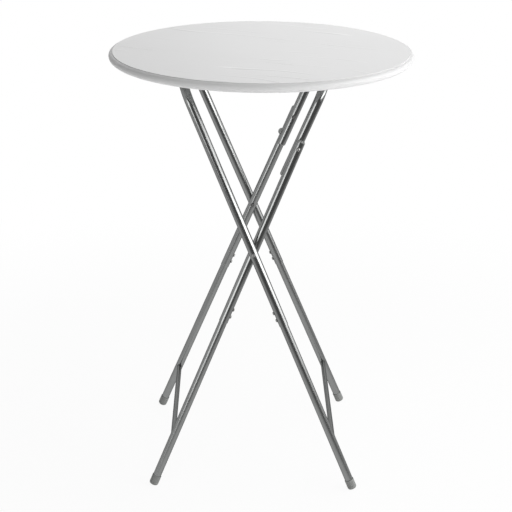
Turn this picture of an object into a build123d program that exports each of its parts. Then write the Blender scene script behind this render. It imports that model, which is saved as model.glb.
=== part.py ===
from build123d import *
import os
from math import cos, hypot, radians, sin, sqrt, tan

os.makedirs("parts", exist_ok=True)

# Folding bar table: a round moulded top on two crossed tube frames.
# Origin on the floor under the middle of the top, +Z up, +X the way the legs spread, +Y to the far side.

# Top
top_height = 1100.0
top_radius = 386.0
panel_depth = 25.0
skin = 2.5
crease_radius = 376.5
crease_width = 1.0
crease_depth = 1.8
rim_width_depth = 11.0
rim_pull_share = 0.6
lip_radius = 362.0
dimple_mouth_radius = 8.0
dimple_tip_radius = 3.5
dimple_pitch = 80.0
dimple_field_radius = 345.0
blow_hole_radius = 4.0
blow_hole_place = 350.0
boss_radius = 8.0

# Tubes
tube_radius = 11.5
tube_bore_radius = 10.6
lower_tube_radius = 10.5
lower_tube_bore_radius = 9.6
crossbar_radius = 6.5
crossbar_bore_radius = 5.5
bend_radius = 60.0

# Frames: the places of the pivots and how far the legs stand apart
frame_offset = 17.4
pivot_half_spacing = 177.2
bar_gap = 11.5
lean = 22.5
splay = 4.4
crossing_distance = 458.9
outer_half_spread = 185.9
crossing_gap = 1.6
knee_distance = 177.5
knee_kink = 1.5
knee_gap = 2.2
stub_length = 17.5
tail_length = 82.0
joint_drop = 200.0
overlap_length = 70.0
outer_crossbar_height = 131.0
inner_crossbar_height = 128.5

# Feet
foot_radius = 11.8
foot_length = 27.0
foot_floor = 5.0
foot_edge_radius = 6.0
foot_flat_depth = 1.2

# Brackets under the top
bracket_bend_gap = 13.0
bar_seat_rise = 6.0
bracket_width = 26.0
bracket_metal = 2.0
bracket_reach = 34.0
bracket_hole_place = 24.0
bracket_corner_radius = 6.0
bar_fit = 0.06

# Screws, bolts, rivets and their fits
screw_radius = 2.5
screw_head_radius = 4.8
screw_head_height = 3.0
head_taper = 24.0
bracket_screw_length = 17.0
leg_screw_spacing = 20.0
leg_screw_rise = 28.0
leg_nut_radius = 3.6
leg_nut_length = 8.0
bolt_radius = 3.0
bolt_head_radius = 5.2
bolt_head_height = 3.2
nut_flats = 10.0
nut_height = 5.0
washer_radius = 5.5
crossing_washer_metal = 0.6
knee_washer_metal = 1.2
pin_fit = 0.08
hole_clearance = 0.1
seat_clearance = 0.3
head_standoff = 0.45

# Plugs in the tube ends
plug_cap_height = 2.5
plug_stem_length = 12.0
plug_taper = 30.0

# Latch tab at the far knee
latch_place = 54.0
latch_metal = 1.5
latch_gap = 0.5
latch_eye_radius = 7.0
latch_tab_radius = 9.5
latch_tab_reach = 11.0
rivet_radius = 2.5
rivet_shoulder_radius = 4.0

overrun = 1.0

# Places worked out from the sizes above, in the plane of the fold (X and Z)
splay_slope = tan(radians(splay))
under_side = top_height - panel_depth
pivot_height = under_side - bar_gap - tube_radius
outer_pivot = Vector(-frame_offset - pivot_half_spacing, 0, pivot_height)
inner_pivot = Vector(-frame_offset + pivot_half_spacing, 0, pivot_height)
outer_down = Vector(sin(radians(lean)), 0, -cos(radians(lean)))
crossing = outer_pivot + outer_down * crossing_distance
chord = (crossing - inner_pivot).normalized()
chord_left = Vector(chord.Z, 0, -chord.X)
chord_share = sqrt(knee_distance**2 - knee_kink**2)
knee = inner_pivot + chord * chord_share + chord_left * knee_kink
upper_down = (knee - inner_pivot).normalized()
lower_down = (crossing - knee).normalized()
knee_to_crossing = (crossing - knee).length

# Half distances between the legs, measured across at the crossing and at the knee
tube_side = tube_radius / cos(radians(splay))
outer_at_crossing = outer_half_spread + crossing_distance * splay_slope
inner_at_crossing = outer_at_crossing - 2 * tube_side - crossing_gap
inner_at_knee = inner_at_crossing - knee_to_crossing * splay_slope
upper_half_spread = inner_at_knee - tube_side - knee_gap - tube_radius

# Brackets on the straight part of the top bars, clear of the inner frame's bends
bracket_place = upper_half_spread - bend_radius - bracket_width / 2 - bracket_bend_gap

# The plane of each frame: X across the table, Y down the legs, Z out of the legs' under side
outer_frame = Plane(outer_pivot, x_dir=(0, 1, 0), z_dir=(outer_down.Z, 0, -outer_down.X))
upper_frame = Plane(inner_pivot, x_dir=(0, -1, 0), z_dir=(-upper_down.Z, 0, upper_down.X))
lower_frame = Plane(knee, x_dir=(0, -1, 0), z_dir=(-lower_down.Z, 0, lower_down.X))


def sole_height(down):
    # the height of the middle of a foot's square end, when the foot's lowest edge is cut flat by the floor
    upright = -down.Z * cos(radians(splay))
    tilt = sqrt(1 - upright**2)
    return (foot_radius - foot_edge_radius) * tilt + foot_edge_radius * (1 - upright) - foot_flat_depth


# Distances down each frame
outer_joint = crossing_distance + joint_drop
outer_end = (pivot_height - sole_height(outer_down)) / -outer_down.Z
outer_bar_place = (pivot_height - outer_crossbar_height) / -outer_down.Z
inner_joint = knee_to_crossing + joint_drop
inner_end = (knee.Z - sole_height(lower_down)) / -lower_down.Z
inner_bar_place = (knee.Z - inner_crossbar_height) / -lower_down.Z


def half_spread(frame, distance):
    # half the distance between the axes of a splayed frame's legs, at a distance down the frame
    start = outer_half_spread if frame is outer_frame else inner_at_knee
    return start + distance * splay_slope


def side_of(frame, name):
    # -1 or 1: the side of the frame's own X axis on which the near or the far leg stands
    near = -1 if frame is outer_frame else 1
    return near if name == "near" else -near


def leg_plane(frame, name, distance):
    # the plane square to a splayed leg's axis, its Z down the leg and its X out of the under side
    side = side_of(frame, name)
    point = frame.from_local_coords((side * half_spread(frame, distance), distance, 0))
    along = frame.x_dir * (side * sin(radians(splay))) + frame.y_dir * cos(radians(splay))
    return Plane(point, x_dir=frame.z_dir, z_dir=along)


def leg_length(start, end):
    return (end - start) / cos(radians(splay))


def across(frame, name, distance, half):
    # a plane at the axis of a leg whose Z points across the table, away from its middle
    side = side_of(frame, name)
    outward = frame.x_dir * side
    point = frame.from_local_coords((side * half, distance, 0))
    return Plane(point, x_dir=frame.y_dir, z_dir=outward)


def write(builder, name):
    builder.part.label = name
    export_step(builder.part, f"parts/{name}.step")


def bracket_screw_places():
    places = []
    for pivot in (outer_pivot, inner_pivot):
        for side in (-1, 1):
            for hand in (-1, 1):
                places.append((pivot.X + hand * bracket_hole_place, side * bracket_place))
    return places


def near_bracket(x, y):
    # true where a dimple would run into a bracket's solid bosses
    keep_off = bracket_hole_place + boss_radius + dimple_mouth_radius + skin
    return any(
        hypot(x - pivot.X, y - side * bracket_place) < keep_off
        for pivot in (outer_pivot, inner_pivot)
        for side in (-1, 1)
    )


def dimple_places():
    # rows of dimples, every second row moved along by half a pitch
    places = []
    row_pitch = dimple_pitch * sin(radians(60))
    rows = int(dimple_field_radius / row_pitch)
    columns = int(dimple_field_radius / dimple_pitch)
    for row in range(-rows, rows + 1):
        for column in range(-columns - 1, columns + 1):
            x = (column + (row % 2) / 2) * dimple_pitch
            y = row * row_pitch
            if hypot(x, y) < dimple_field_radius and not near_bracket(x, y):
                places.append((x, y))
    return places


# Round top: two skins with a hollow between, pressed together at the dimples, solid under the brackets
edge_top = (crease_radius + crease_width, top_height - crease_depth)
edge_wide = (top_radius, top_height - rim_width_depth)
edge_low = (lip_radius, under_side)
rim_top_pulls = (
    (edge_top[0] + rim_pull_share * (top_radius - edge_top[0]), edge_top[1]),
    (top_radius, edge_wide[1] + rim_pull_share * (edge_top[1] - edge_wide[1])),
)
rim_low_pulls = (
    (top_radius, edge_wide[1] - rim_pull_share * (edge_wide[1] - under_side)),
    (lip_radius + rim_pull_share * (top_radius - lip_radius), under_side),
)
with BuildPart() as tabletop:
    with BuildSketch(Plane.XZ):
        with BuildLine():
            Polyline((0, under_side), (0, top_height), (crease_radius, top_height), edge_top)
            Bezier(edge_top, *rim_top_pulls, edge_wide)
            Bezier(edge_wide, *rim_low_pulls, edge_low)
            Line(edge_low, (0, under_side))
        make_face()
    revolve(axis=Axis.Z)
    with BuildSketch(Plane.XZ):
        with BuildLine():
            Polyline(
                (0, under_side + skin),
                (0, top_height - skin),
                (crease_radius - skin, top_height - skin),
                (top_radius - 2 * skin, top_height - rim_width_depth),
                (lip_radius - skin, under_side + skin),
                close=True,
            )
        make_face()
    revolve(axis=Axis.Z, mode=Mode.SUBTRACT)
    with BuildSketch(Plane.XY.offset(under_side + skin)):
        with Locations(bracket_screw_places()):
            Circle(boss_radius)
    extrude(amount=panel_depth - 2 * skin)
    wall_height = panel_depth - skin
    with Locations([(x, y, under_side + wall_height / 2) for x, y in dimple_places()]):
        Cone(dimple_mouth_radius + skin, dimple_tip_radius + skin, wall_height)
    dimple_depth = wall_height - skin
    with Locations([(x, y, under_side + dimple_depth / 2) for x, y in dimple_places()]):
        Cone(dimple_mouth_radius, dimple_tip_radius, dimple_depth, mode=Mode.SUBTRACT)
    with BuildSketch(Plane.XY.offset(under_side)):
        with Locations(bracket_screw_places()):
            Circle(screw_radius + pin_fit)
    extrude(amount=bracket_screw_length, mode=Mode.SUBTRACT)
    with BuildSketch(Plane.XY.offset(under_side)):
        with Locations((blow_hole_place, 0)):
            Circle(blow_hole_radius)
    extrude(amount=skin + overrun, mode=Mode.SUBTRACT)
write(tabletop, "tabletop")

# Where each top bar turns: a seat block under the top and a strap round the bar, screwed to the under side
strap_bore = tube_radius + bar_fit
strap_radius = strap_bore + bracket_metal
bar_drop = under_side - pivot_height
for frame_name, pivot in (("outer", outer_pivot), ("inner", inner_pivot)):
    for name, side in (("near", -1), ("far", 1)):
        section = Plane((pivot.X, side * bracket_place, pivot.Z), x_dir=(1, 0, 0), z_dir=(0, -1, 0))
        with BuildPart() as bar_seat:
            with BuildSketch(section):
                with Locations((0, bar_drop)):
                    Rectangle(
                        2 * (tube_radius - seat_clearance),
                        bar_drop - bar_seat_rise,
                        align=(Align.CENTER, Align.MAX),
                    )
                Circle(strap_bore, mode=Mode.SUBTRACT)
            extrude(amount=bracket_width / 2, both=True)
        write(bar_seat, f"{frame_name}_bar_seat_{name}")
        with BuildPart() as bracket:
            with BuildSketch(section):
                Circle(strap_radius)
                with Locations((0, bar_drop / 2)):
                    Rectangle(2 * strap_radius, bar_drop)
                with Locations((0, bar_drop - bracket_metal / 2)):
                    Rectangle(2 * bracket_reach, bracket_metal)
                with Locations((0, bar_drop + strap_radius / 2)):
                    Rectangle(2 * strap_radius, strap_radius, mode=Mode.SUBTRACT)
                Circle(strap_bore, mode=Mode.SUBTRACT)
                with Locations((0, bar_drop / 2)):
                    Rectangle(2 * strap_bore, bar_drop, mode=Mode.SUBTRACT)
            extrude(amount=bracket_width / 2, both=True)
            with BuildSketch(Plane((pivot.X, side * bracket_place, under_side))):
                with Locations((-bracket_hole_place, 0), (bracket_hole_place, 0)):
                    Circle(screw_radius + hole_clearance)
            extrude(amount=-(bracket_metal + overrun), mode=Mode.SUBTRACT)
            ends = bracket.edges().filter_by(Axis.Z).group_by(Axis.X)
            fillet(ends[0] + ends[-1], bracket_corner_radius)
        write(bracket, f"{frame_name}_bracket_{name}")

with BuildPart() as bracket_screws:
    head_top = under_side - bracket_metal
    with BuildSketch(Plane.XY.offset(head_top)):
        with Locations(bracket_screw_places()):
            Circle(screw_head_radius)
    extrude(amount=-screw_head_height, taper=head_taper)
    with BuildSketch(Plane.XY.offset(head_top)):
        with Locations(bracket_screw_places()):
            Circle(screw_radius)
    extrude(amount=bracket_screw_length)
write(bracket_screws, "bracket_screws")


def tube_face(outer_radius, bore_radius):
    Circle(outer_radius)
    Circle(bore_radius, mode=Mode.SUBTRACT)


def screw_places(joint):
    middle = joint - leg_screw_rise
    return (middle - leg_screw_spacing / 2, middle + leg_screw_spacing / 2)


def under_plane(frame, name, place, distance=0):
    # a plane at a leg, or a distance out from its axis, whose Z points out of the under side
    point = leg_plane(frame, name, place).origin + frame.z_dir * distance
    return Plane(point, x_dir=frame.y_dir, z_dir=frame.z_dir)


def cut_under_holes(frame, name, joint, radius):
    # holes in the under side of a leg for its two screws
    for place in screw_places(joint):
        with BuildSketch(under_plane(frame, name, place)) as hole:
            Circle(radius)
        extrude(hole.sketch, amount=tube_radius + overrun, mode=Mode.SUBTRACT)


def cut_across(frame, name, distance, half, radius):
    # a hole right through a leg, from side to side of the table
    with BuildSketch(across(frame, name, distance, half)) as hole:
        Circle(radius)
    extrude(hole.sketch, amount=tube_side + overrun, both=True, mode=Mode.SUBTRACT)


# Outer frame: a top bar and two splayed legs bent from one tube
low_half = half_spread(outer_frame, outer_joint)
with BuildPart() as outer_upper_frame:
    with BuildLine(outer_frame) as outer_path:
        FilletPolyline(
            (-low_half, outer_joint),
            (-outer_half_spread, 0),
            (outer_half_spread, 0),
            (low_half, outer_joint),
            radius=bend_radius,
        )
    with BuildSketch(leg_plane(outer_frame, "near", outer_joint)):
        tube_face(tube_radius, tube_bore_radius)
    sweep(path=outer_path.line)
    for name in ("near", "far"):
        cut_under_holes(outer_frame, name, outer_joint, screw_radius + hole_clearance)
        cut_across(outer_frame, name, crossing_distance, outer_at_crossing, bolt_radius + hole_clearance)
write(outer_upper_frame, "outer_upper_frame")

# Inner frame: its short upper part, whose tails run on below the knee
upper_end = knee_distance + tail_length
with BuildPart() as inner_upper_frame:
    with BuildLine(upper_frame) as upper_path:
        FilletPolyline(
            (-upper_half_spread, upper_end),
            (-upper_half_spread, 0),
            (upper_half_spread, 0),
            (upper_half_spread, upper_end),
            radius=bend_radius,
        )
    tail_end = upper_frame.from_local_coords((-upper_half_spread, upper_end, 0))
    with BuildSketch(Plane(tail_end, x_dir=upper_frame.z_dir, z_dir=upper_frame.y_dir)):
        tube_face(tube_radius, tube_bore_radius)
    sweep(path=upper_path.line)
    for name in ("near", "far"):
        cut_across(upper_frame, name, knee_distance, upper_half_spread, bolt_radius + pin_fit)
write(inner_upper_frame, "inner_upper_frame")

# Inner frame: the tubes below the knee, open at the joint where the lower legs slide in
for name in ("near", "far"):
    with BuildPart() as mid_leg:
        with BuildSketch(leg_plane(lower_frame, name, -stub_length)):
            tube_face(tube_radius, tube_bore_radius)
        extrude(amount=leg_length(-stub_length, inner_joint))
        cut_under_holes(lower_frame, name, inner_joint, screw_radius + hole_clearance)
        cut_across(lower_frame, name, 0, inner_at_knee, bolt_radius + hole_clearance)
        cut_across(lower_frame, name, knee_to_crossing, inner_at_crossing, bolt_radius + hole_clearance)
        if name == "far":
            with BuildSketch(across(lower_frame, name, latch_place, half_spread(lower_frame, latch_place))):
                Circle(rivet_radius + hole_clearance)
            extrude(amount=-(tube_side + overrun), mode=Mode.SUBTRACT)
    write(mid_leg, f"inner_mid_leg_{name}")


def lower_leg(frame, name, joint, end):
    # a thinner tube that slides up into the leg above and is held there by two screws
    start = joint - overlap_length
    with BuildPart() as leg:
        with BuildSketch(leg_plane(frame, name, start)):
            tube_face(lower_tube_radius, lower_tube_bore_radius)
        extrude(amount=leg_length(start, end - foot_floor))
        cut_under_holes(frame, name, joint, leg_nut_radius + hole_clearance)
    return leg


def foot_cap(frame, name, end):
    # a cup over the tube's end with a thick sole, its edge rounded, and the small flat that stands on the floor
    with BuildPart() as foot:
        with BuildSketch(leg_plane(frame, name, end)):
            Circle(foot_radius)
        extrude(amount=-foot_length)
        fillet(foot.faces().sort_by(Axis.Z)[0].edges(), foot_edge_radius)
        with BuildSketch(leg_plane(frame, name, end - foot_floor)):
            Circle(lower_tube_radius + hole_clearance)
        extrude(amount=-foot_length, mode=Mode.SUBTRACT)
        split(bisect_by=Plane.XY, keep=Keep.TOP)
    return foot


def crossbar(frame, place):
    # a thin tube across the frame, its ends coped to the round of the legs
    middle = frame.from_local_coords((0, place, 0))
    with BuildPart() as bar:
        with BuildSketch(Plane(middle, x_dir=frame.y_dir, z_dir=frame.x_dir)):
            tube_face(crossbar_radius, crossbar_bore_radius)
        extrude(amount=half_spread(frame, place), both=True)
        for name in ("near", "far"):
            with BuildSketch(leg_plane(frame, name, place)):
                Circle(lower_tube_radius)
            extrude(amount=2 * lower_tube_radius, both=True, mode=Mode.SUBTRACT)
    return bar


def leg_screws(frame, joint):
    # pan-head screws in the under side of both legs of a frame
    nut_seat = sqrt(tube_bore_radius**2 - leg_nut_radius**2) - hole_clearance
    with BuildPart() as screws:
        for name in ("near", "far"):
            for place in screw_places(joint):
                seat = under_plane(frame, name, place, tube_radius)
                with BuildSketch(seat):
                    Circle(screw_head_radius)
                extrude(amount=screw_head_height, taper=head_taper)
                with BuildSketch(seat):
                    Circle(screw_radius)
                extrude(amount=-(tube_radius - nut_seat + leg_nut_length))
    with BuildPart() as nuts:
        for name in ("near", "far"):
            for place in screw_places(joint):
                with BuildSketch(under_plane(frame, name, place, nut_seat)):
                    Circle(leg_nut_radius)
                    Circle(screw_radius + pin_fit, mode=Mode.SUBTRACT)
                extrude(amount=-leg_nut_length)
    return screws, nuts


for frame_name, frame, joint, end, bar_place in (
    ("outer", outer_frame, outer_joint, outer_end, outer_bar_place),
    ("inner", lower_frame, inner_joint, inner_end, inner_bar_place),
):
    for name in ("near", "far"):
        write(lower_leg(frame, name, joint, end), f"{frame_name}_lower_leg_{name}")
        write(foot_cap(frame, name, end), f"{frame_name}_foot_{name}")
    write(crossbar(frame, bar_place), f"{frame_name}_crossbar")
    screws, nuts = leg_screws(frame, joint)
    write(screws, f"{frame_name}_leg_screws")
    write(nuts, f"{frame_name}_leg_nuts")


def dome(seat, radius, height):
    # a low round head that stands on its seat
    ball = (radius**2 + height**2) / (2 * height)
    side = radius / 2
    shoulder = (side, sqrt(ball**2 - side**2) - ball + height)
    with BuildSketch(Plane(seat.origin, x_dir=seat.x_dir, z_dir=-seat.y_dir)) as half_head:
        with BuildLine():
            Polyline((0, height), (0, 0), (radius, 0))
            ThreePointArc((radius, 0), shoulder, (0, height))
        make_face()
    revolve(half_head.sketch, axis=Axis(seat.origin, seat.z_dir))


def nut_face(bore_radius):
    RegularPolygon(nut_flats / 2, 6, major_radius=False)
    Circle(bore_radius, mode=Mode.SUBTRACT)


# Crossing pivots: the bolt and washer stay with the outer frame, the nut and its stub with the inner frame
head_half = outer_at_crossing + tube_side + head_standoff
bolt_length = head_standoff + 2 * tube_side + crossing_gap - seat_clearance
washer_half = outer_at_crossing - tube_side - head_standoff
stub_half = inner_at_crossing + tube_side - hole_clearance
nut_half = inner_at_crossing - tube_side - head_standoff
with BuildPart() as crossing_bolts:
    for name in ("near", "far"):
        seat = across(outer_frame, name, crossing_distance, head_half)
        dome(seat, bolt_head_radius, bolt_head_height)
        with BuildSketch(seat):
            Circle(bolt_radius)
        extrude(amount=-bolt_length)
write(crossing_bolts, "crossing_bolts")
with BuildPart() as crossing_washers:
    for name in ("near", "far"):
        with BuildSketch(across(outer_frame, name, crossing_distance, washer_half)):
            tube_face(washer_radius, bolt_radius + pin_fit)
        extrude(amount=-crossing_washer_metal)
write(crossing_washers, "crossing_washers")
with BuildPart() as crossing_nuts:
    for name in ("near", "far"):
        with BuildSketch(across(lower_frame, name, knee_to_crossing, stub_half)):
            Circle(bolt_radius)
        extrude(amount=-(stub_half - nut_half + nut_height + overrun))
        with BuildSketch(across(lower_frame, name, knee_to_crossing, nut_half)):
            RegularPolygon(nut_flats / 2, 6, major_radius=False)
        extrude(amount=-nut_height)
write(crossing_nuts, "crossing_nuts")

# Knee pivots: the bolt turns in the upper part's tube and is held by the lower part's
head_half = inner_at_knee + tube_side + head_standoff
washer_half = inner_at_knee - tube_side - head_standoff
nut_half = upper_half_spread - tube_radius - seat_clearance
with BuildPart() as knee_bolts:
    for name in ("near", "far"):
        seat = across(lower_frame, name, 0, head_half)
        dome(seat, bolt_head_radius, bolt_head_height)
        with BuildSketch(seat):
            Circle(bolt_radius)
        extrude(amount=-(head_half - nut_half + nut_height + overrun))
write(knee_bolts, "knee_bolts")
with BuildPart() as knee_washers:
    for name in ("near", "far"):
        with BuildSketch(across(lower_frame, name, 0, washer_half)):
            tube_face(washer_radius, bolt_radius + pin_fit)
        extrude(amount=-knee_washer_metal)
write(knee_washers, "knee_washers")
with BuildPart() as knee_nuts:
    for name in ("near", "far"):
        with BuildSketch(across(lower_frame, name, 0, nut_half)):
            nut_face(bolt_radius + pin_fit)
        extrude(amount=-nut_height)
write(knee_nuts, "knee_nuts")


def plug(end):
    # a cap on a tube's end, with a stem pushed into the tube; the plane's Z points out of the tube
    with BuildSketch(end) as cap:
        Circle(tube_radius)
    extrude(cap.sketch, amount=plug_cap_height, taper=plug_taper)
    with BuildSketch(end) as stem:
        Circle(tube_bore_radius - pin_fit)
    extrude(stem.sketch, amount=-plug_stem_length)


with BuildPart() as mid_leg_plugs:
    for name in ("near", "far"):
        top = leg_plane(lower_frame, name, -stub_length)
        plug(Plane(top.origin, x_dir=top.x_dir, z_dir=-top.z_dir))
write(mid_leg_plugs, "mid_leg_plugs")
with BuildPart() as tail_plugs:
    for side in (-1, 1):
        end = upper_frame.from_local_coords((side * upper_half_spread, upper_end, 0))
        plug(Plane(end, x_dir=upper_frame.z_dir, z_dir=upper_frame.y_dir))
write(tail_plugs, "tail_plugs")

# Latch tab: a half-round plate between the two tubes of the far knee, turning on a rivet in the lower one
latch_half = upper_half_spread + tube_radius + latch_gap
with BuildPart() as knee_latch:
    with BuildSketch(across(lower_frame, "far", latch_place, latch_half)):
        Circle(latch_eye_radius)
        with Locations((0, latch_tab_reach)):
            Circle(latch_tab_radius)
        make_hull()
        Circle(rivet_radius + pin_fit, mode=Mode.SUBTRACT)
    extrude(amount=latch_metal)
write(knee_latch, "knee_latch")
crown = half_spread(lower_frame, latch_place) - tube_side
shoulder_half = latch_half + latch_metal + hole_clearance
with BuildPart() as latch_rivet:
    with BuildSketch(across(lower_frame, "far", latch_place, latch_half)):
        Circle(rivet_radius)
    extrude(amount=crown - latch_half + 2 * overrun)
    with BuildSketch(across(lower_frame, "far", latch_place, shoulder_half)):
        Circle(rivet_shoulder_radius)
    extrude(amount=crown - shoulder_half - head_standoff)
write(latch_rivet, "latch_rivet")
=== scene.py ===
import math

import bpy
import numpy as np
from mathutils import Matrix, Vector


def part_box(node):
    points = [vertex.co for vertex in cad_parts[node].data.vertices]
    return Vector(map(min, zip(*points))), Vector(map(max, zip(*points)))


# Folding bar table: finishes, floor, light and camera for the CAD part, in metres, +Z up, +Y the far side
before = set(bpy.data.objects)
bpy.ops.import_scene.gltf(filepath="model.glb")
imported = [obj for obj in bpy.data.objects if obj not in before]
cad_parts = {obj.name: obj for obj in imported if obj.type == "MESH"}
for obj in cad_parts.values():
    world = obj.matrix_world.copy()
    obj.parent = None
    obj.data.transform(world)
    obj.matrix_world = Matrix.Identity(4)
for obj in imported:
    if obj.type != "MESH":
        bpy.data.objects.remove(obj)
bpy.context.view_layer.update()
print("frame loaded")


# Small helpers: what a node gives is passed on as a pair, the node and the name of its output
def feed(tree, socket, source):
    # a pair is linked, and anything else is the socket's value
    if isinstance(source, tuple) and isinstance(source[0], bpy.types.Node):
        tree.links.new(source[0].outputs[source[1]], socket)
    else:
        socket.default_value = source


def feedAll(tree, node, sources):
    for name, source in sources.items():
        feed(tree, node.inputs[name], source)


def addNode(tree, kind, sources, **settings):
    node = tree.nodes.new(kind)
    for name, value in settings.items():
        setattr(node, name, value)
    feedAll(tree, node, sources)
    return node


def calc(tree, operation, *sources):
    return addNode(tree, "ShaderNodeMath", dict(enumerate(sources)), operation=operation), "Value"


def vectorCalc(tree, operation, output, *sources):
    return addNode(tree, "ShaderNodeVectorMath", dict(enumerate(sources)), operation=operation), output


def noise(tree, vector, scale, detail, roughness=0.5):
    sources = {"Vector": vector, "Scale": scale, "Detail": detail, "Roughness": roughness}
    return addNode(tree, "ShaderNodeTexNoise", sources), "Fac"


def ramp(tree, value, start, end, first=0.0, last=1.0, shape="LINEAR"):
    # goes from first at start to last at end, and stays there beyond
    sources = {"Value": value, "From Min": start, "From Max": end, "To Min": first, "To Max": last}
    return addNode(tree, "ShaderNodeMapRange", sources, interpolation_type=shape), "Result"


def mixColor(tree, share, first, second):
    sources = {"Factor": share, "A": first, "B": second}
    return addNode(tree, "ShaderNodeMix", sources, data_type="RGBA"), "Result"


def mapping(tree, vector, **values):
    return addNode(tree, "ShaderNodeMapping", {"Vector": vector, **values}), "Vector"


def objectPlace(tree):
    return tree.nodes.new("ShaderNodeTexCoord"), "Object"


def newMaterial(name):
    material = bpy.data.materials.new(name)
    material.use_nodes = True
    tree = material.node_tree
    return material, tree, tree.nodes["Principled BSDF"]


def startGroup(name, inputs, outputs):
    group = bpy.data.node_groups.new(name, "ShaderNodeTree")
    for sockets, side in ((inputs, "INPUT"), (outputs, "OUTPUT")):
        for label, kind in sockets.items():
            group.interface.new_socket(label, in_out=side, socket_type="NodeSocket" + kind)
    return group, group.nodes.new("NodeGroupInput"), group.nodes.new("NodeGroupOutput")


def useGroup(tree, group, **sources):
    node = tree.nodes.new("ShaderNodeGroup")
    node.node_tree = group
    feedAll(tree, node, sources)
    return node


# Speckled paint: a fine sparkle in the colour, uneven gloss and a slight orange peel
paintGrain = {
    "flakeScale": 2600.0,
    "patchScale": 22.0,
    "patchShare": 0.5,  # what the wide patches add to the sparkle
    "darkAt": 0.45,
    "lightAt": 1.05,
    "peelScale": 420.0,
}


def makePaintGroup():
    inputs = {"Vector": "Vector", "Dark": "Color", "Light": "Color", "Roughness": "Float", "Uneven": "Float"}
    outputs = {"Color": "Color", "Roughness": "Float", "Height": "Float"}
    group, start, end = startGroup("metalPaint", inputs, outputs)
    vector = (start, "Vector")
    flake = noise(group, vector, paintGrain["flakeScale"], detail=2.0, roughness=0.7)
    patch = noise(group, vector, paintGrain["patchScale"], detail=4.0, roughness=0.6)
    both = calc(group, "MULTIPLY_ADD", patch, paintGrain["patchShare"], flake)
    shade = ramp(group, both, paintGrain["darkAt"], paintGrain["lightAt"])
    swing = calc(group, "SUBTRACT", patch, 0.5)  # the patches' own middle is 0.5
    feedAll(group, end, {
        "Color": mixColor(group, shade, (start, "Dark"), (start, "Light")),
        "Roughness": calc(group, "MULTIPLY_ADD", swing, (start, "Uneven"), (start, "Roughness")),
        "Height": noise(group, vector, paintGrain["peelScale"], detail=2.0),
    })
    return group


paintGroup = makePaintGroup()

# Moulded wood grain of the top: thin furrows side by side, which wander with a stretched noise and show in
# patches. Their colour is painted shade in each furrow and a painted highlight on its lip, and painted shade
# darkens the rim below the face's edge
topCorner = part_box("tabletop")[1]
topRadius, topHeight = topCorner[0], topCorner[2]
grainLook = {
    "stretch": (2.2, 9.0, 1.0),
    "shift": (0.9, 2.1, 0.0),
    "rows": 22.0,  # a metre
    "wander": 3.0,  # rows
    "width": 0.06,  # of the way to the next row
    "patches": (3.5, 11.0, 1.0),
    "patchFrom": 0.52,
    "patchTo": 0.62,
    "broad": 0.8,  # how much the face swells, against the furrows' depth
    "cloudScale": 3.0,
    "faceFull": topRadius - 0.015,  # the furrows fade out from here
    "faceEnd": topRadius - 0.0105,
    "shadeFrom": topHeight - 0.00002,  # the painted shade begins at the face's edge
    "shadeFull": topHeight - 0.0004,
    "shadeFalls": topHeight - 0.002,  # and thins out from here down to its end
    "shadeEnd": topHeight - 0.03,
}


def makeGrainGroup():
    inputs = {"Vector": "Vector", "Furrows": "Float"}
    outputs = {"Mask": "Float", "Height": "Float", "Cloud": "Float", "RimShade": "Float"}
    group, start, end = startGroup("grainAndPaintedShade", inputs, outputs)
    vector = (start, "Vector")
    place = addNode(group, "ShaderNodeSeparateXYZ", {"Vector": vector})
    stretched = mapping(group, vector, Scale=grainLook["stretch"], Location=grainLook["shift"])
    field = noise(group, stretched, 1.0, detail=1.0, roughness=0.4)
    rows = calc(group, "MULTIPLY", (place, "Y"), grainLook["rows"])
    phase = calc(group, "FRACT", calc(group, "MULTIPLY_ADD", field, grainLook["wander"], rows))
    # a furrow with a raised lip beside it: the distance from the row's line, times a bell that fades it out
    near = calc(group, "DIVIDE", calc(group, "SUBTRACT", phase, 0.5), grainLook["width"])
    fall = calc(group, "MULTIPLY", calc(group, "MULTIPLY", near, near), -1.0)
    wave = calc(group, "MULTIPLY", near, calc(group, "EXPONENT", fall))
    patches = noise(group, mapping(group, vector, Scale=grainLook["patches"]), 1.0, detail=2.0)
    where = ramp(group, patches, grainLook["patchFrom"], grainLook["patchTo"])
    # the rim stays plain: the furrows end just inside its crease
    level = vectorCalc(group, "MULTIPLY", "Vector", vector, (1, 1, 0))
    radius = vectorCalc(group, "LENGTH", "Value", level)
    face = ramp(group, radius, grainLook["faceEnd"], grainLook["faceFull"])
    shown = calc(group, "MULTIPLY", wave, calc(group, "MULTIPLY", where, face))
    # painted shade lies below the face's edge and thins out down the rim
    outside = calc(group, "SUBTRACT", 1.0, face)
    below = ramp(group, (place, "Z"), grainLook["shadeFrom"], grainLook["shadeFull"])
    down = ramp(group, (place, "Z"), grainLook["shadeEnd"], grainLook["shadeFalls"])
    feedAll(group, end, {
        # half on the plain face, less in a furrow for its painted shade and more on its lip for its painted
        # highlight
        "Mask": calc(group, "MULTIPLY_ADD", shown, (start, "Furrows"), 0.5),
        "Height": calc(group, "MULTIPLY_ADD", field, grainLook["broad"], shown),
        "Cloud": noise(group, vector, grainLook["cloudScale"], detail=2.0),
        "RimShade": calc(group, "MULTIPLY", outside, calc(group, "MULTIPLY", below, down)),
    })
    return group


grainGroup = makeGrainGroup()


# Finishes
def bumped(tree, height, distance):
    return addNode(tree, "ShaderNodeBump", {"Height": height, "Distance": distance}), "Normal"


topLook = {
    # painted shade in the furrows and painted highlight on their lips; the relief itself is the bump
    "furrowShade": (0.69, 0.69, 0.69, 1),
    "lipHighlight": (0.91, 0.91, 0.91, 1),
    "furrows": 1.1,
    # painted shade colour for the rim just under the face's edge
    "rimShadeColor": (0.63, 0.63, 0.63, 1),
    "roughness": 0.42,
    "cloud": 0.12,  # how much the gloss changes over the face
    "specular": 0.4,
    "bump": 0.0015,
    "turn": math.radians(27),
}


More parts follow.
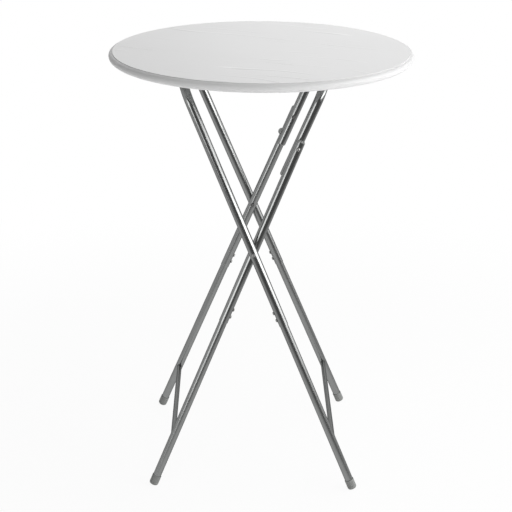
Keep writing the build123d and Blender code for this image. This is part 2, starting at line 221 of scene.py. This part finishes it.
def topMaterial():
    material, tree, shader = newMaterial("mouldedTop")
    turned = mapping(tree, objectPlace(tree), Rotation=(0, 0, topLook["turn"]))
    grain = useGroup(tree, grainGroup, Vector=turned, Furrows=topLook["furrows"])
    # the grain's painted shade and painted highlight over the face
    plain = mixColor(tree, (grain, "Mask"), topLook["furrowShade"], topLook["lipHighlight"])
    least = topLook["roughness"] - topLook["cloud"] / 2
    feedAll(tree, shader, {
        # the rim gets painted shade, darkest just under the face's edge
        "Base Color": mixColor(tree, (grain, "RimShade"), plain, topLook["rimShadeColor"]),
        "Roughness": calc(tree, "MULTIPLY_ADD", (grain, "Cloud"), topLook["cloud"], least),
        "Specular IOR Level": topLook["specular"],
        "Normal": bumped(tree, (grain, "Height"), topLook["bump"]),
    })
    return material


upperTubes = {
    "dark": (0.235, 0.24, 0.238, 1),
    "light": (0.305, 0.31, 0.307, 1),
    "metallic": 1.0,
    "roughness": 0.2,
    "uneven": 0.06,
    "peel": 0.000012,
}
lowerTubes = {
    "dark": (0.222, 0.227, 0.225, 1),
    "light": (0.288, 0.293, 0.29, 1),
    "metallic": 1.0,
    "roughness": 0.25,
    "uneven": 0.06,
    "peel": 0.000012,
}
zincParts = {
    "dark": (0.2, 0.2, 0.2, 1),
    "light": (0.42, 0.42, 0.41, 1),
    "metallic": 0.9,
    "roughness": 0.33,
    "uneven": 0.06,
    "peel": 0.00002,
}
edgeTint = (0.3, 0.3, 0.3, 1)  # these mirror less at a grazing angle than bare metal


def metalMaterial(name, look):
    material, tree, shader = newMaterial(name)
    values = {"Dark": look["dark"], "Light": look["light"]}
    values |= {"Roughness": look["roughness"], "Uneven": look["uneven"]}
    paint = useGroup(tree, paintGroup, Vector=objectPlace(tree), **values)
    feedAll(tree, shader, {
        "Base Color": (paint, "Color"),
        "Roughness": (paint, "Roughness"),
        "Metallic": look["metallic"],
        "Specular Tint": edgeTint,
        "Normal": bumped(tree, (paint, "Height"), look["peel"]),
    })
    return material


footCaps = {"color": (0.215, 0.22, 0.214), "roughness": 0.5}
kneeTab = {"color": (0.42, 0.43, 0.42), "roughness": 0.5}
plasticLook = {"swing": 0.12, "uneven": 0.12, "gritScale": 900.0, "grit": 0.00006}


def plasticMaterial(name, look):
    # the colour swings a little to both sides, over a fine moulded grit
    material, tree, shader = newMaterial(name)
    place = objectPlace(tree)
    color, swing = Vector(look["color"]), plasticLook["swing"]
    values = {"Dark": (*color * (1 - swing), 1), "Light": (*color * (1 + swing), 1)}
    values |= {"Roughness": look["roughness"], "Uneven": plasticLook["uneven"]}
    paint = useGroup(tree, paintGroup, Vector=place, **values)
    grit = noise(tree, place, plasticLook["gritScale"], detail=2.0, roughness=0.6)
    feedAll(tree, shader, {
        "Base Color": (paint, "Color"),
        "Roughness": (paint, "Roughness"),
        "Normal": bumped(tree, grit, plasticLook["grit"]),
    })
    return material


finishes = {
    "top": topMaterial(),
    "upper": metalMaterial("silverPaint", upperTubes),
    "lower": metalMaterial("lowerLegPaint", lowerTubes),
    "cap": plasticMaterial("footPlastic", footCaps),
    "zinc": metalMaterial("zincPlate", zincParts),
    "tab": plasticMaterial("latchPlastic", kneeTab),
}
# the first of these words that is in a piece's name gives its finish, and a piece with none is an upper tube
finishWords = {
    "tabletop": "top",
    "knee_latch": "tab",
    "foot": "cap",
    "plugs": "cap",
    "bar_seat": "cap",
    "lower_leg": "lower",
    "crossbar": "lower",
    "bracket": "zinc",
    "screws": "zinc",
    "nuts": "zinc",
    "bolts": "zinc",
    "washers": "zinc",
    "rivet": "zinc",
}
for node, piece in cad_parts.items():
    finish = next((finish for word, finish in finishWords.items() if word in node), "upper")
    for slot in piece.material_slots:
        slot.material = finishes[finish]
print("finishes given to the CAD pieces")

# What metal mirrors of the studio, and how the world lights the table: each side has its direction, the
# cosines between which its tone changes, and the tones there
studioSides = {
    "dark": {"toward": (0.34, -0.94, 0.0), "start": -0.1, "end": 0.85, "first": 0.8, "last": 0.16},
    "behind": {"toward": (0.0, 1.0, 0.0), "start": 0.75, "end": 0.95, "first": 0.0, "last": 1.0},
    "light": {"toward": (0.97, -0.25, 0.0), "start": -0.6, "end": 0.8, "first": 0.03, "last": 0.83},
}


def makeStudioGroup():
    outputs = {"Mirrored": "Float", "Light": "Float"}
    group, start, end = startGroup("studioSides", {"Vector": "Vector"}, outputs)
    level = vectorCalc(group, "MULTIPLY", "Vector", (start, "Vector"), (1, 1, 0))
    unit = vectorCalc(group, "NORMALIZE", "Vector", level)
    tones = {}
    for name, side in studioSides.items():
        cosine = vectorCalc(group, "DOT_PRODUCT", "Value", unit, side["toward"])
        span = (side[key] for key in ("start", "end", "first", "last"))
        tones[name] = ramp(group, cosine, *span, shape="SMOOTHSTEP")
    feedAll(group, end, {
        "Mirrored": calc(group, "MAXIMUM", tones["dark"], tones["behind"]),
        "Light": tones["light"],
    })
    return group


studioGroup = makeStudioGroup()


def cameraSees(tree):
    # 1 for rays that show the backdrop: straight to the camera, or by way of metal and glass
    path = tree.nodes.new("ShaderNodeLightPath")
    seen = calc(tree, "MAXIMUM", (path, "Is Camera Ray"), (path, "Is Glossy Ray"))
    return calc(tree, "MAXIMUM", seen, (path, "Is Transmission Ray"))


# Plain paper that shows nearly white at the table and fully white further out
floorLook = {
    "half": 14.0,
    "color": (0.88, 0.88, 0.88, 1),
    "roughness": 0.9,
    "nearWhite": 0.93,
    "whiteFrom": 0.8,
    "whiteFull": 2.2,
    "mirrorFrom": 0.4,  # beyond this metal mirrors the paper as dark as the studio above it
    "mirrorFull": 1.6,
}


def makeFloor():
    # a flat square about the origin
    corners = floorLook["half"] * np.array([(-1, -1, 0), (1, -1, 0), (1, 1, 0), (-1, 1, 0)])
    mesh = bpy.data.meshes.new("floor")
    mesh.from_pydata(corners.tolist(), [], [(0, 1, 2, 3)])
    floor = bpy.data.objects.new("floor", mesh)
    bpy.context.scene.collection.objects.link(floor)
    material, tree, shader = newMaterial("floorPaper")
    feedAll(tree, shader, {
        "Base Color": floorLook["color"],
        "Roughness": floorLook["roughness"],
        "Specular IOR Level": 0.0,
    })
    place = objectPlace(tree)
    distance = vectorCalc(tree, "LENGTH", "Value", place)
    near, far = floorLook["whiteFrom"], floorLook["whiteFull"]
    fade = ramp(tree, distance, near, far, first=floorLook["nearWhite"], shape="SMOOTHSTEP")
    away = ramp(tree, distance, floorLook["mirrorFrom"], floorLook["mirrorFull"])
    path = tree.nodes.new("ShaderNodeLightPath")
    mirrored = calc(tree, "MULTIPLY", away, (path, "Is Glossy Ray"))
    sides = useGroup(tree, studioGroup, Vector=place)
    lack = calc(tree, "SUBTRACT", 1.0, (sides, "Mirrored"))
    strength = calc(tree, "SUBTRACT", 1.0, calc(tree, "MULTIPLY", lack, mirrored))
    white = addNode(tree, "ShaderNodeEmission", {"Strength": strength})
    share = calc(tree, "MULTIPLY", fade, cameraSees(tree))
    mix = addNode(tree, "ShaderNodeMixShader", {0: share, 1: (shader, "BSDF"), 2: (white, "Emission")})
    feed(tree, tree.nodes["Material Output"].inputs["Surface"], (mix, "Shader"))
    mesh.materials.append(material)


def makeWorld():
    # white to the camera, the studio's sides to metal, and a light from the right to all else
    world = bpy.data.worlds.new("studio")
    bpy.context.scene.world = world
    world.use_nodes = True
    tree = world.node_tree
    sides = useGroup(tree, studioGroup, Vector=(tree.nodes.new("ShaderNodeTexCoord"), "Generated"))
    path = tree.nodes.new("ShaderNodeLightPath")
    seen = calc(tree, "MAXIMUM", (path, "Is Camera Ray"), (path, "Is Transmission Ray"))
    mirrored = calc(tree, "MULTIPLY", (path, "Is Glossy Ray"), (sides, "Mirrored"))
    other = calc(tree, "SUBTRACT", 1.0, cameraSees(tree))
    white = calc(tree, "MAXIMUM", seen, mirrored)
    strength = calc(tree, "MULTIPLY_ADD", other, (sides, "Light"), white)
    feedAll(tree, tree.nodes["Background"], {"Color": (1, 1, 1, 1), "Strength": strength})


# Soft lamps: place, target, radiance, width and height
lamps = {
    "topSoftbox": ((0.45, 0.7, 3.3), (0, 0, 1.0), 1.47, 2.0, 2.0),
    "backSoftbox": ((0.5, 1.3, 2.0), (0.1, 0, 1.1), 1.25, 1.4, 0.7),
    "leftSoftbox": ((-1.55, -2.2, 0.75), (0, 0, 0.9), 2.6, 1.4, 1.2),
    "rightSoftbox": ((2.41, -0.65, 1.4), (0, 0, 1.0), 2.1, 2.9, 1.8),
    "rimStrip": ((2.2, -1.25, 1.05), (0, 0, 1.05), 5.0, 2.4, 0.36),
}


def addLamp(name, place, target, radiance, width, height):
    data = bpy.data.lights.new(name, "AREA")
    data.shape = "RECTANGLE"
    data.size = width
    data.size_y = height
    data.energy = radiance * math.pi * width * height
    lamp = bpy.data.objects.new(name, data)
    turn = (Vector(target) - Vector(place)).to_track_quat("-Z", "Y").to_matrix()
    lamp.matrix_world = Matrix.Translation(place) @ turn.to_4x4()
    bpy.context.scene.collection.objects.link(lamp)


# The photograph's camera: a pinhole with its centre in the middle of the picture
cameraLook = {
    "place": (-0.0585, -3.8986, 1.9184),
    "azimuth": math.radians(-0.7),
    "elevation": math.radians(19.4),
    "roll": math.radians(0.3),
    "focalPixels": 1559.7,
    "framePixels": 512,
    "sensor": 36.0,  # mm
    "clipEnd": 100.0,
}


def addCamera():
    azimuth, elevation, roll = (cameraLook[name] for name in ("azimuth", "elevation", "roll"))
    right = Vector((math.cos(azimuth), math.sin(azimuth), 0))
    ahead = Vector((-math.sin(azimuth), math.cos(azimuth), 0))
    forward = ahead * math.cos(elevation) - Vector((0, 0, math.sin(elevation)))
    up = right.cross(forward)
    rolledRight = right * math.cos(roll) + up * math.sin(roll)
    rolledUp = up * math.cos(roll) - right * math.sin(roll)
    turn = Matrix((rolledRight, rolledUp, -forward)).transposed()
    data = bpy.data.cameras.new("camera")
    data.sensor_fit = "HORIZONTAL"
    data.sensor_width = cameraLook["sensor"]
    data.lens = cameraLook["focalPixels"] / cameraLook["framePixels"] * cameraLook["sensor"]
    data.clip_end = cameraLook["clipEnd"]
    camera = bpy.data.objects.new("camera", data)
    camera.matrix_world = Matrix.Translation(cameraLook["place"]) @ turn.to_4x4()
    bpy.context.scene.collection.objects.link(camera)
    bpy.context.scene.camera = camera


makeFloor()
makeWorld()
for name, lamp in lamps.items():
    addLamp(name, *lamp)
addCamera()
bpy.context.scene.view_settings.view_transform = "Standard"
print("floor, light and camera set")
